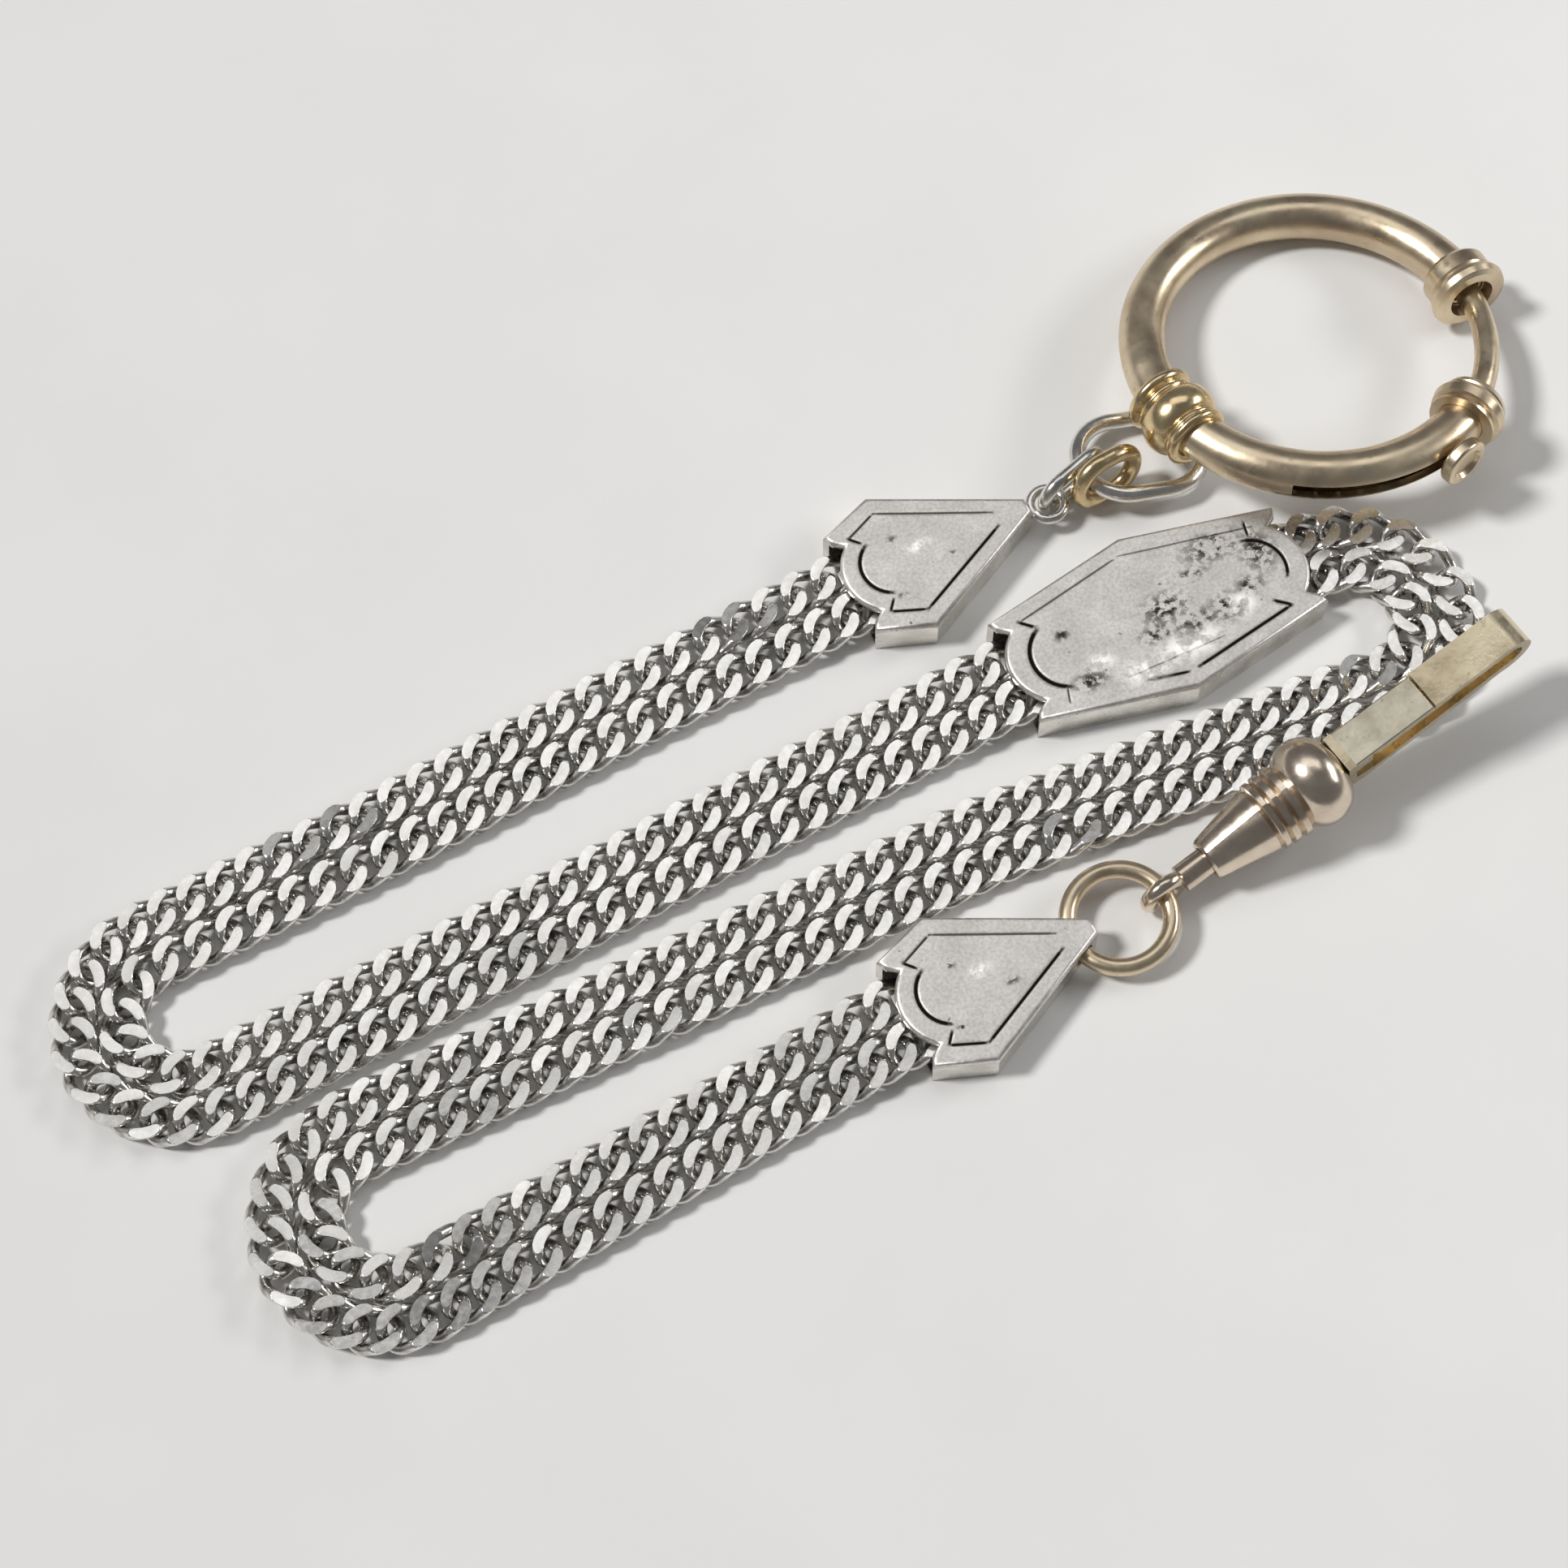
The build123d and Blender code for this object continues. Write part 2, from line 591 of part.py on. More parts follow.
HEAD_FROM = SHANK_END - HEAD_T - 0.1
HEAD_TO = SHANK_END + 0.1
with BuildPart() as swivel_barrel:
    with BuildSketch(SWIVEL_SIDE):
        with BuildLine():
            Polyline(
                (BEAD_FROM, 1.95), (8.4, 2.2), (8.05, 2.2), (7.9, 1.95), (7.7, 2.15), (7.35, 2.15), (7.2, 1.9),
                (7.05, 2.1), (6.75, 2.1), (6.6, 1.85), (6.45, 1.95), (3.0, 1.25), (BARREL_START, 1.15),
                (BARREL_START, SHANK_R + SHANK_GAP), (HEAD_FROM, SHANK_R + SHANK_GAP),
                (HEAD_FROM, HEAD_R + SHANK_GAP), (HEAD_TO, HEAD_R + SHANK_GAP),
                (HEAD_TO, 0), (HOOK_START, 0), (HOOK_START, 1.25),
            )
            ThreePointArc((HOOK_START, 1.25), (BEAD_AT, BEAD_R), (BEAD_FROM, 1.95))
        make_face()
    revolve(axis=SWIVEL_AXIS)
save(swivel_barrel.part, "swivel_barrel")

tongue_z = HOOK_HALF_HEIGHT - HOOK_T - TONGUE_GAP - TONGUE_T / 2
pin_x = HOOK_START + 1.1
with BuildPart() as hook_bar:
    with BuildSketch(SWIVEL_SIDE):
        with BuildLine():
            Polyline(
                (NOSE_END, HOOK_HALF_HEIGHT - HOOK_T),
                (HOOK_END - 1.2, HOOK_HALF_HEIGHT - HOOK_T),
            )
            ThreePointArc(
                (HOOK_END - 1.2, HOOK_HALF_HEIGHT - HOOK_T), (HOOK_END - HOOK_T, 0.3), (HOOK_END - 1.2, -0.45)
            )
            Polyline(
                (HOOK_END - 1.2, -0.45), (HOOK_START + 1.7, -HOOK_HALF_HEIGHT + HOOK_T),
                (HOOK_START + 0.5, -HOOK_HALF_HEIGHT + HOOK_T + 0.4), (HOOK_START + 0.5, HOOK_HALF_HEIGHT - 0.25),
                (HOOK_START, HOOK_HALF_HEIGHT - 0.25), (HOOK_START, -HOOK_HALF_HEIGHT + 0.2),
                (HOOK_START + 1.0, -HOOK_HALF_HEIGHT), (HOOK_END - 1.9, -1.15),
            )
            ThreePointArc((HOOK_END - 1.9, -1.15), (HOOK_END, 0.4), (HOOK_END - 1.2, HOOK_HALF_HEIGHT))
            Polyline(
                (HOOK_END - 1.2, HOOK_HALF_HEIGHT), (NOSE_END, HOOK_HALF_HEIGHT),
                (NOSE_END, HOOK_HALF_HEIGHT - HOOK_T),
            )
        make_face()
    extrude(amount=HOOK_HALF_WIDTH, both=True)
    with BuildSketch(SWIVEL_SIDE):
        with Locations((HOOK_START + 1.0, tongue_z)):
            Rectangle(1.2, 1.0)
    extrude(amount=HOOK_HALF_WIDTH, both=True)
    with BuildSketch(SWIVEL_SIDE):
        with Locations((HOOK_START + 1.2, tongue_z)):
            Rectangle(1.4, 1.3)
    extrude(amount=HOOK_HALF_WIDTH - 0.3, both=True, mode=Mode.SUBTRACT)
    with BuildSketch(SWIVEL_SIDE):
        with Locations((pin_x, tongue_z)):
            Circle(PIN_R)
    extrude(amount=2, both=True, mode=Mode.SUBTRACT)
save(hook_bar.part, "hook_bar")

with BuildPart() as hook_tongue:
    with BuildSketch(SWIVEL_SIDE):
        with Locations((pin_x, tongue_z)):
            Circle(0.42)
        with Locations(((pin_x - TONGUE_BACK + TONGUE_END) / 2, tongue_z)):
            Rectangle(TONGUE_END - pin_x + TONGUE_BACK, TONGUE_T)
        with Locations((pin_x, tongue_z)):
            Circle(PIN_R + 0.04, mode=Mode.SUBTRACT)
    extrude(amount=HOOK_HALF_WIDTH - 0.36, both=True)
    with BuildSketch(SWIVEL_SIDE):
        with Locations(((HOOK_START + 1.95 + TONGUE_END) / 2, tongue_z)):
            Rectangle(TONGUE_END - HOOK_START - 1.95, TONGUE_T)
    extrude(amount=HOOK_HALF_WIDTH - 0.05, both=True)
save(hook_tongue.part, "hook_tongue")

with BuildPart() as tongue_pin:
    with BuildSketch(SWIVEL_SIDE):
        with Locations((pin_x, tongue_z)):
            Circle(PIN_R)
    extrude(amount=HOOK_HALF_WIDTH, both=True)
save(tongue_pin.part, "tongue_pin")
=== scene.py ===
"""Pocket watch chain: a double curb chain with engraved silver plates, a gold bolt ring and a swivel.

Metres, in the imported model's frame: +X along the runs, +Y away from the front run, +Z up.
"""
import json
import math

import bmesh
import bpy
import numpy as np
from mathutils import Matrix, Vector, geometry


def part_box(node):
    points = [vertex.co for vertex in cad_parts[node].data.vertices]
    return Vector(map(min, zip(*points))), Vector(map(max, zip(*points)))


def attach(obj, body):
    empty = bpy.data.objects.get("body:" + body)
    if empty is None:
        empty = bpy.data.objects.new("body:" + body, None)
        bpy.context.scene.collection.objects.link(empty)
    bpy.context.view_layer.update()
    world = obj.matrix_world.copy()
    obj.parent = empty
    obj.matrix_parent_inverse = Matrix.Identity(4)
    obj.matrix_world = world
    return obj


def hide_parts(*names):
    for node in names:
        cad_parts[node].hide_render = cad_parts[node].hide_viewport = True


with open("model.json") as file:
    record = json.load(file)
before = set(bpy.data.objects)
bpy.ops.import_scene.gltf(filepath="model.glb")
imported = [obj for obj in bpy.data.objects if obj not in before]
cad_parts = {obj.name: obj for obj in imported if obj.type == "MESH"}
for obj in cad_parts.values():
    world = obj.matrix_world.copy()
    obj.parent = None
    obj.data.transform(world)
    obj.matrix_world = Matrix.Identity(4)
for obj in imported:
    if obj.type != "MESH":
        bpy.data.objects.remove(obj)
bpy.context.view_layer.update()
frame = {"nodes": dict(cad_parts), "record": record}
MM = 0.001
rng = np.random.default_rng(7)


# ---- materials -----------------------------------------------------------------------------
# channels of the mesh colour attribute: DARK holds painted shade on the chain links and the dark of the
# cuts on the plates
DARK, TARNISH, RUBBED = 0, 1, 2


def new_material(name):
    """An empty metal: the material, its node tree and its shader."""
    material = bpy.data.materials.new(name)
    material.use_nodes = True
    nodes = material.node_tree.nodes
    nodes.clear()
    output = nodes.new("ShaderNodeOutputMaterial")
    shader = nodes.new("ShaderNodeBsdfPrincipled")
    shader.inputs["Metallic"].default_value = 1.0
    material.node_tree.links.new(shader.outputs["BSDF"], output.inputs["Surface"])
    return material, material.node_tree, shader


def noise(tree, scale, detail=4.0, stretch=(1, 1, 1), roughness=0.55):
    """Noise in object space; scale is in features per metre."""
    coords = tree.nodes.new("ShaderNodeTexCoord")
    mapping = tree.nodes.new("ShaderNodeMapping")
    mapping.inputs["Scale"].default_value = stretch
    texture = tree.nodes.new("ShaderNodeTexNoise")
    texture.inputs["Scale"].default_value = scale
    texture.inputs["Detail"].default_value = detail
    texture.inputs["Roughness"].default_value = roughness
    tree.links.new(coords.outputs["Object"], mapping.inputs["Vector"])
    tree.links.new(mapping.outputs["Vector"], texture.inputs["Vector"])
    return texture.outputs["Fac"]


def ramp(tree, value, stops):
    """A colour ramp over a value: stops are (place, colour) pairs, colours grey numbers or triples."""
    node = tree.nodes.new("ShaderNodeValToRGB")
    while len(node.color_ramp.elements) < len(stops):
        node.color_ramp.elements.new(0.5)
    for element, (place, colour) in zip(node.color_ramp.elements, stops):
        element.position = place
        tone = (colour, colour, colour) if isinstance(colour, (int, float)) else colour
        element.color = (*tone, 1)
    tree.links.new(value, node.inputs["Fac"])
    return node.outputs["Color"]


def mix(tree, factor, first, second, blend="MIX"):
    """Two colours mixed; each value is a socket, a number or a triple."""
    node = tree.nodes.new("ShaderNodeMix")
    node.data_type = "RGBA"
    node.blend_type = blend
    for socket, value in ((node.inputs[0], factor), (node.inputs[6], first), (node.inputs[7], second)):
        if isinstance(value, bpy.types.NodeSocket):
            tree.links.new(value, socket)
        elif isinstance(value, (int, float)):
            socket.default_value = value
        else:
            socket.default_value = (*value, 1)
    return node.outputs[2]


def maths(tree, operation, first, second):
    """A sum or product held between 0 and 1; each value is a socket or a number."""
    node = tree.nodes.new("ShaderNodeMath")
    node.operation = operation
    node.use_clamp = True
    for socket, value in zip(node.inputs, (first, second)):
        if isinstance(value, (int, float)):
            socket.default_value = value
        else:
            tree.links.new(value, socket)
    return node.outputs[0]


def painted(tree, channel):
    """One channel of the mesh's own colour attribute: DARK (painted shade on the links, the dark of the
    cuts on the plates), TARNISH or RUBBED.
    """
    attribute = tree.nodes.new("ShaderNodeAttribute")
    attribute.attribute_name = "wear_and_shade"
    split = tree.nodes.new("ShaderNodeSeparateColor")
    tree.links.new(attribute.outputs["Color"], split.inputs["Color"])
    return split.outputs[channel]


def add_bump(tree, shader, height, strength, distance):
    bump = tree.nodes.new("ShaderNodeBump")
    bump.inputs["Strength"].default_value = strength
    bump.inputs["Distance"].default_value = distance
    tree.links.new(height, bump.inputs["Height"])
    tree.links.new(bump.outputs["Normal"], shader.inputs["Normal"])


def chain_silver():
    """Polished silver with painted shade in the waists and inner curves of the wire, in patches, and a few
    warm specks.
    """
    material, tree, shader = new_material("chain_silver")
    tone = ramp(tree, noise(tree, 700), [(0.3, (0.80, 0.78, 0.74)), (0.7, (0.93, 0.91, 0.88))])
    patchy = ramp(tree, noise(tree, 2200), [(0.25, 0.45), (0.6, 1.0)])
    # painted shade: the links' waists and inner curves darkened where the next links crowd them, broken up
    # in patches
    dirt_and_shade = maths(tree, "MULTIPLY", painted(tree, DARK), patchy)
    # the dark warm brown of the painted shade
    colour = mix(tree, dirt_and_shade, tone, (0.10, 0.085, 0.07))
    specks = ramp(tree, noise(tree, 1100, detail=2), [(0.77, 0.0), (0.82, 0.5)])
    tree.links.new(mix(tree, specks, colour, (0.42, 0.22, 0.08)), shader.inputs["Base Color"])
    gloss = ramp(tree, noise(tree, 3000), [(0.3, 0.20), (0.75, 0.34)])
    tree.links.new(gloss, shader.inputs["Roughness"])
    add_bump(tree, shader, noise(tree, 4000), 0.12, 0.00002)
    return material


def plate_face():
    """Rubbed satin silver: dark cuts, clouds of black tarnish, bright rubbed spots, fine grain."""
    material, tree, shader = new_material("plate_face")
    tone = ramp(tree, noise(tree, 420), [(0.3, (0.72, 0.69, 0.65)), (0.7, (0.88, 0.85, 0.81))])
    grain = ramp(tree, noise(tree, 5200, detail=6), [(0.35, 0.80), (0.62, 1.0)])
    tone = mix(tree, 1.0, tone, grain, "MULTIPLY")
    clouds = ramp(tree, noise(tree, 2300, detail=5, roughness=0.65), [(0.47, 0.0), (0.56, 1.0)])
    tarnish = maths(tree, "MULTIPLY", clouds, painted(tree, TARNISH))
    stray = ramp(tree, noise(tree, 1700, detail=3), [(0.70, 0.0), (0.75, 0.8)])
    tarnish = maths(tree, "ADD", tarnish, stray)
    colour = mix(tree, tarnish, tone, (0.05, 0.043, 0.037))
    colour = mix(tree, painted(tree, DARK), colour, (0.02, 0.016, 0.012))
    spots = ramp(tree, noise(tree, 1300), [(0.42, 0.0), (0.56, 1.0)])
    rubbed = maths(tree, "MULTIPLY", painted(tree, RUBBED), spots)
    colour = mix(tree, rubbed, colour, (0.97, 0.95, 0.92))
    tree.links.new(colour, shader.inputs["Base Color"])
    gloss = ramp(tree, noise(tree, 1400), [(0.3, 0.36), (0.7, 0.50)])
    gloss = mix(tree, rubbed, gloss, (0.2, 0.2, 0.2))
    gloss = mix(tree, painted(tree, DARK), gloss, (0.85, 0.85, 0.85))
    tree.links.new(mix(tree, tarnish, gloss, (0.7, 0.7, 0.7)), shader.inputs["Roughness"])
    scratches = noise(tree, 900, detail=3, stretch=(1, 14, 1))
    add_bump(tree, shader, mix(tree, 0.35, noise(tree, 9000), scratches), 0.30, 0.00003)
    return material


def metal(name, pale, deep, rough=(0.18, 0.38), scale=700, dirt_and_shade=0.35):
    """Worn metal: two tones in soft clouds, small dark pits and uneven gloss."""
    material, tree, shader = new_material(name)
    tone = ramp(tree, noise(tree, scale), [(0.32, deep), (0.62, pale)])
    pits = ramp(tree, noise(tree, scale * 4, detail=5), [(0.62, 0.0), (0.74, dirt_and_shade)])
    shade = tuple(channel * 0.25 for channel in deep)
    tree.links.new(mix(tree, pits, tone, shade), shader.inputs["Base Color"])
    gloss = ramp(tree, noise(tree, scale * 2.5), [(0.3, rough[0]), (0.72, rough[1])])
    tree.links.new(gloss, shader.inputs["Roughness"])
    add_bump(tree, shader, noise(tree, scale * 8), 0.2, 0.00003)
    return material


CHAIN = chain_silver()
FACE = plate_face()
SIDE = metal("plate_side", (0.86, 0.84, 0.79), (0.62, 0.59, 0.54), (0.15, 0.34), 500, 0.6)
LINK_SILVER = metal("link_silver", (0.86, 0.84, 0.80), (0.62, 0.59, 0.54), (0.16, 0.32), 600, 0.5)
GOLD = metal("ring_gold", (0.78, 0.66, 0.47), (0.56, 0.44, 0.31), (0.24, 0.42), 260, 0.4)
RICH_GOLD = metal("rich_gold", (0.80, 0.64, 0.38), (0.60, 0.45, 0.25), (0.18, 0.32), 500, 0.5)
PINK_GOLD = metal("swivel_gold", (0.80, 0.69, 0.56), (0.58, 0.48, 0.38), (0.16, 0.30), 380, 0.4)
DULL_BRASS = metal("hook_brass", (0.80, 0.70, 0.50), (0.56, 0.47, 0.31), (0.18, 0.36), 420, 0.6)
STRAP = metal("hook_strap", (0.58, 0.54, 0.43), (0.42, 0.38, 0.29), (0.32, 0.48), 520, 0.5)
STEEL = metal("inner_steel", (0.62, 0.61, 0.60), (0.45, 0.44, 0.43), (0.25, 0.4), 700, 0.3)


# ---- mesh helpers --------------------------------------------------------------------------
def make_object(name, vertices, faces, material, wear_and_shade=None, flat=None):
    """A smooth mesh object; its colour attribute is three numbers a vertex, of wear and painted shade,
    flat the faces that stay flat.
    """
    mesh = bpy.data.meshes.new(name)
    mesh.from_pydata([tuple(v) for v in vertices], [], faces)
    mesh.update()
    mesh.materials.append(material)
    smooth = np.ones(len(mesh.polygons), dtype=bool)
    if flat is not None:
        smooth[flat] = False
    mesh.polygons.foreach_set("use_smooth", smooth)
    if wear_and_shade is not None:
        layer = mesh.color_attributes.new("wear_and_shade", "FLOAT_COLOR", "POINT")
        layer.data.foreach_set("color", np.c_[wear_and_shade, np.ones(len(wear_and_shade))].astype(np.float32).ravel())
    piece = bpy.data.objects.new(name, mesh)
    bpy.context.scene.collection.objects.link(piece)
    return piece


def loop_tube(centres, radius, around, centre):
    """Rings of points round a closed path; every ring starts on the side away from the centre."""
    centres = np.asarray(centres, dtype=float)
    tangents = np.roll(centres, -1, 0) - np.roll(centres, 1, 0)
    tangents /= np.linalg.norm(tangents, axis=1)[:, None]
    outward = centres - np.asarray(centre)
    outward -= (outward * tangents).sum(1)[:, None] * tangents
    outward /= np.linalg.norm(outward, axis=1)[:, None]
    across = np.cross(tangents, outward)
    angles = np.linspace(0, 2 * math.pi, around, endpoint=False)
    rings = (
        centres[:, None]
        + radius * np.cos(angles)[None, :, None] * outward[:, None]
        + radius * np.sin(angles)[None, :, None] * across[:, None]
    )
    return rings


def tube_faces(count, around):
    """The faces between rings of points, the last ring joined to the first."""
    faces = []
    for i in range(count):
        j = (i + 1) % count
        for k in range(around):
            m = (k + 1) % around
            faces.append((i * around + k, j * around + k, j * around + m, i * around + m))
    return faces


# ---- curb links ----------------------------------------------------------------------------
WIRE_R = 0.32
HALF_LENGTH = 1.38
HALF_WIDTH = 1.0
TWIST = 1.0
CORNER_R = 0.9
CORNER_STEPS = 8
PATH_STEP = 0.25
WIRE_SIDES = 14
FACET_TOP = 0.47
FACET_BOTTOM = 0.56
SLACK_SHARE = 0.03
SLACK_ROLL = 11.0
SLACK_LIFT = 0.14
ROLL_SPREAD = 1.6
PITCH_SPREAD = 1.0
# how much each link's painted shade differs from the next
SHADE_SPREAD = 0.25


def filleted(corners, radius, steps):
    """A closed path with every corner rounded by an arc."""
    path = []
    count = len(corners)
    for i in range(count):
        point = np.array(corners[i], dtype=float)
        back = np.array(corners[i - 1]) - point
        ahead = np.array(corners[(i + 1) % count]) - point
        back /= np.linalg.norm(back)
        ahead /= np.linalg.norm(ahead)
        half = math.acos(np.clip(back @ ahead, -1, 1)) / 2
        middle = (back + ahead) / np.linalg.norm(back + ahead)
        centre = point + middle * radius / math.sin(half)
        start = point + back * radius / math.tan(half) - centre
        end = point + ahead * radius / math.tan(half) - centre
        sweep = math.pi - 2 * half
        for step in range(steps + 1):
            share = step / steps
            weights = math.sin((1 - share) * sweep), math.sin(share * sweep)
            path.append(centre + (weights[0] * start + weights[1] * end) / math.sin(sweep))
    return path


def spaced(path, target):
    """Extra points on a closed path's long straight stretches."""
    out = []
    for a, b in zip(path, path[1:] + path[:1]):
        pieces = max(1, round(np.linalg.norm(b - a) / target))
        out += [a + (b - a) * k / pieces for k in range(pieces)]
    return out


def master_link():
    """One twisted link, ground flat on top and underneath: vertices, faces, flat facets and the painted
    shade of its waists and inner curves.
    """
    corners = [
        (HALF_LENGTH, -HALF_WIDTH, TWIST),
        (HALF_LENGTH, HALF_WIDTH, -TWIST),
        (-HALF_LENGTH, HALF_WIDTH, TWIST),
        (-HALF_LENGTH, -HALF_WIDTH, -TWIST),
    ]
    path = spaced(filleted(corners, CORNER_R, CORNER_STEPS), PATH_STEP)
    rings = loop_tube(path, WIRE_R, WIRE_SIDES, (0, 0, 0))
    mesh = bmesh.new()
    made = [mesh.verts.new(p) for p in rings.reshape(-1, 3)]
    for face in tube_faces(len(path), WIRE_SIDES):
        mesh.faces.new([made[i] for i in face])
    for side, level in ((1, FACET_TOP), (-1, FACET_BOTTOM)):
        cut = bmesh.ops.bisect_plane(
            mesh, geom=mesh.verts[:] + mesh.edges[:] + mesh.faces[:], plane_co=(0, 0, side * level),
            plane_no=(0, 0, side), clear_outer=True, dist=1e-5,
        )
        rim = [e for e in cut["geom_cut"] if isinstance(e, bmesh.types.BMEdge)]
        bmesh.ops.contextual_create(mesh, geom=rim)
        bmesh.ops.holes_fill(mesh, edges=[e for e in mesh.edges if e.is_boundary], sides=0)
    mesh.normal_update()
    mesh.verts.index_update()
    vertices = np.array([v.co for v in mesh.verts])
    faces = [[v.index for v in f.verts] for f in mesh.faces]
    facets = [i for i, f in enumerate(mesh.faces) if abs(f.normal.z) > 0.999 and len(f.verts) > 4]
    mesh.free()
    # painted shade: darker round the wire's waist between the flats and on the inside of the link, where
    # the next links pass
    height = np.abs(vertices[:, 2])
    low = 1 - np.clip((height - 0.05) / 0.30, 0, 1)
    inner = np.clip(1.15 - np.hypot(vertices[:, 0] / 1.25, vertices[:, 1] / 0.95), 0, 1)
    wear_and_shade = np.clip(0.55 * low + 0.9 * inner, 0, 1)
    return vertices, faces, np.array(facets), np.c_[wear_and_shade, 0 * wear_and_shade, 0 * wear_and_shade]


LINK = master_link()
BODY_OF = {node: body for body, nodes in frame["record"]["behaviour"]["bodies"].items() for node in nodes}


def solids_of(node):
    """The vertex groups of a node's separate solids."""
    mesh = frame["nodes"][node].data
    points = np.empty(len(mesh.vertices) * 3)
    mesh.vertices.foreach_get("co", points)
    points = points.reshape(-1, 3)
    places = {}
    merged = np.array([places.setdefault(tuple(np.round(p, 6)), len(places)) for p in points])
    parent = list(range(len(places)))

    def root(i):
        while parent[i] != i:
            parent[i] = parent[parent[i]]
            i = parent[i]
        return i

    for edge in mesh.edges:
        a, b = root(merged[edge.vertices[0]]), root(merged[edge.vertices[1]])
        parent[a] = b
    roots = np.array([root(i) for i in merged])
    return [np.unique(points[roots == r].round(7), axis=0) for r in np.unique(roots)]


def link_places(node):
    """A rotation and a centre for each link solid of a node."""
    places = []
    for points in solids_of(node):
        centre = (points.max(0) + points.min(0)) / 2
        spread = points - points.mean(0)
        axes = np.linalg.svd(spread, full_matrices=False)[2]
        upright = axes[2] if axes[2][2] > 0 else -axes[2]
        along = axes[0] if axes[0][0] > 0 else -axes[0]
        along = along - upright * (along @ upright)
        along /= np.linalg.norm(along)
        side = np.cross(upright, along)
        places.append((np.column_stack([along, side, upright]), centre))
    return places


def link_strand(node):
    """Every link of a strand at its solid's place, with a little play and a few slack links rolled."""
    vertices, faces, facets, wear_and_shade = LINK
    out_vertices, out_faces, out_shade, flat = [], [], [], []
    for turn, centre in link_places(node):
        slack = rng.choice([-1, 1]) * SLACK_ROLL if rng.random() < SLACK_SHARE else 0.0
        roll = Matrix.Rotation(math.radians(slack + rng.normal(0, ROLL_SPREAD)), 3, "X")
        roll = roll @ Matrix.Rotation(math.radians(rng.normal(0, PITCH_SPREAD)), 3, "Y")
        lift = turn[:, 2] * (SLACK_LIFT * MM if slack else 0.0)
        start = sum(len(block) for block in out_vertices)
        out_vertices.append((vertices * MM) @ np.array(roll).T @ turn.T + centre + lift)
        flat.append(facets + len(out_faces))
        out_faces += [[start + i for i in face] for face in faces]
        # each link's painted shade a little darker or lighter
        dirt_and_shade = rng.uniform(1 - SHADE_SPREAD, 1 + SHADE_SPREAD)
        out_shade.append(np.clip(wear_and_shade * dirt_and_shade, 0, 1))
    piece = make_object(
        f"{node}_links", np.concatenate(out_vertices), out_faces, CHAIN, np.concatenate(out_shade),
        np.concatenate(flat),
    )
    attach(piece, BODY_OF[node])
    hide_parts(node)


for node in list(frame["nodes"]):
    if node.endswith("_strand") or node.endswith("_end_links"):
        link_strand(node)


# ---- engraved faces of the plates ----------------------------------------------------------
PLATE_TOP = 2.15
FACE_PROUD = 0.13
FACE_SKIRT = 0.34
SKIRT_HEM = 0.04
ROUND_IN = 0.2
ROUND_LEVELS = (0.0, 0.02, 0.06, 0.12, ROUND_IN)
GRID = 0.13
GRID_PLAY = 0.02
RIM_CLEAR = 0.05
CUT_STEP = 0.1
CUT_ROWS = (-1.15, -0.55, 0, 0.55, 1.15)
CUT_CLEAR = 1.6
CUT_SHARE = 0.8
CUT_FADE = 0.12
SWAY = 0.006
SWAY_FROM_RIM = 0.8

EAR_HALF = 3.3
LIP_IN, LIP_HALF = 0.3, 2.65
NOTCH_IN, NOTCH_HALF = 0.85, 2.3
LOBE_OUT = 0.2
SHIELD_LENGTH = 11.4
SHOULDER = (3.3, 4.55)
TIP_HALF = 0.48
MIDDLE_HALF_LENGTH = 9.0
MIDDLE_HALF_WIDTH = 5.1
MIDDLE_YAW = -2.0


def arc_through(start, middle, end, steps=16):
    """Points on the arc through three points."""
    (ax, ay), (bx, by), (cx, cy) = start, middle, end
    d = 2 * (ax * (by - cy) + bx * (cy - ay) + cx * (ay - by))
    a, b, c = (x**2 + y**2 for x, y in (start, middle, end))
    ux = (a * (by - cy) + b * (cy - ay) + c * (ay - by)) / d
    uy = (a * (cx - bx) + b * (ax - cx) + c * (bx - ax)) / d
    angles = [math.atan2(y - uy, x - ux) for x, y in (start, middle, end)]
    turn = (angles[2] - angles[0]) % (2 * math.pi)
    if (angles[1] - angles[0]) % (2 * math.pi) > turn:
        turn -= 2 * math.pi
    radius = math.hypot(ax - ux, ay - uy)
    on_arc = [angles[0] + turn * k / steps for k in range(steps + 1)]
    return [(ux + radius * math.cos(angle), uy + radius * math.sin(angle)) for angle in on_arc]


def scallop(x, facing):
    """A plate's chain end from its far ear to its near ear."""
    lip = x + facing * LIP_IN
    notch = x + facing * NOTCH_IN
    lobe = arc_through((notch, NOTCH_HALF), (x - facing * LOBE_OUT, 0), (notch, -NOTCH_HALF))
    return [(x, EAR_HALF), (lip, LIP_HALF)] + lobe + [(lip, -LIP_HALF), (x, -EAR_HALF)]


SHIELD_OUTLINE = scallop(0, 1) + [
    (SHOULDER[0], -SHOULDER[1]), (SHIELD_LENGTH, -TIP_HALF), (SHIELD_LENGTH, TIP_HALF), SHOULDER,
]
MIDDLE_OUTLINE = (
    scallop(-MIDDLE_HALF_LENGTH, 1) + [(0, -MIDDLE_HALF_WIDTH)]
    + scallop(MIDDLE_HALF_LENGTH, -1)[::-1] + [(0, MIDDLE_HALF_WIDTH)]
)


def inset(outline, distance):
    """The outline moved inwards; it runs anticlockwise."""
    points = np.array(outline)
    before = points - np.roll(points, 1, 0)
    after = np.roll(points, -1, 0) - points
    before /= np.linalg.norm(before, axis=1)[:, None]
    after /= np.linalg.norm(after, axis=1)[:, None]
    normal = np.c_[-(before + after)[:, 1], (before + after)[:, 0]]
    normal /= np.linalg.norm(normal, axis=1)[:, None]
    stretch = (normal * np.c_[-before[:, 1], before[:, 0]]).sum(1).clip(0.5, 1)
    return points + normal * distance / stretch[:, None]


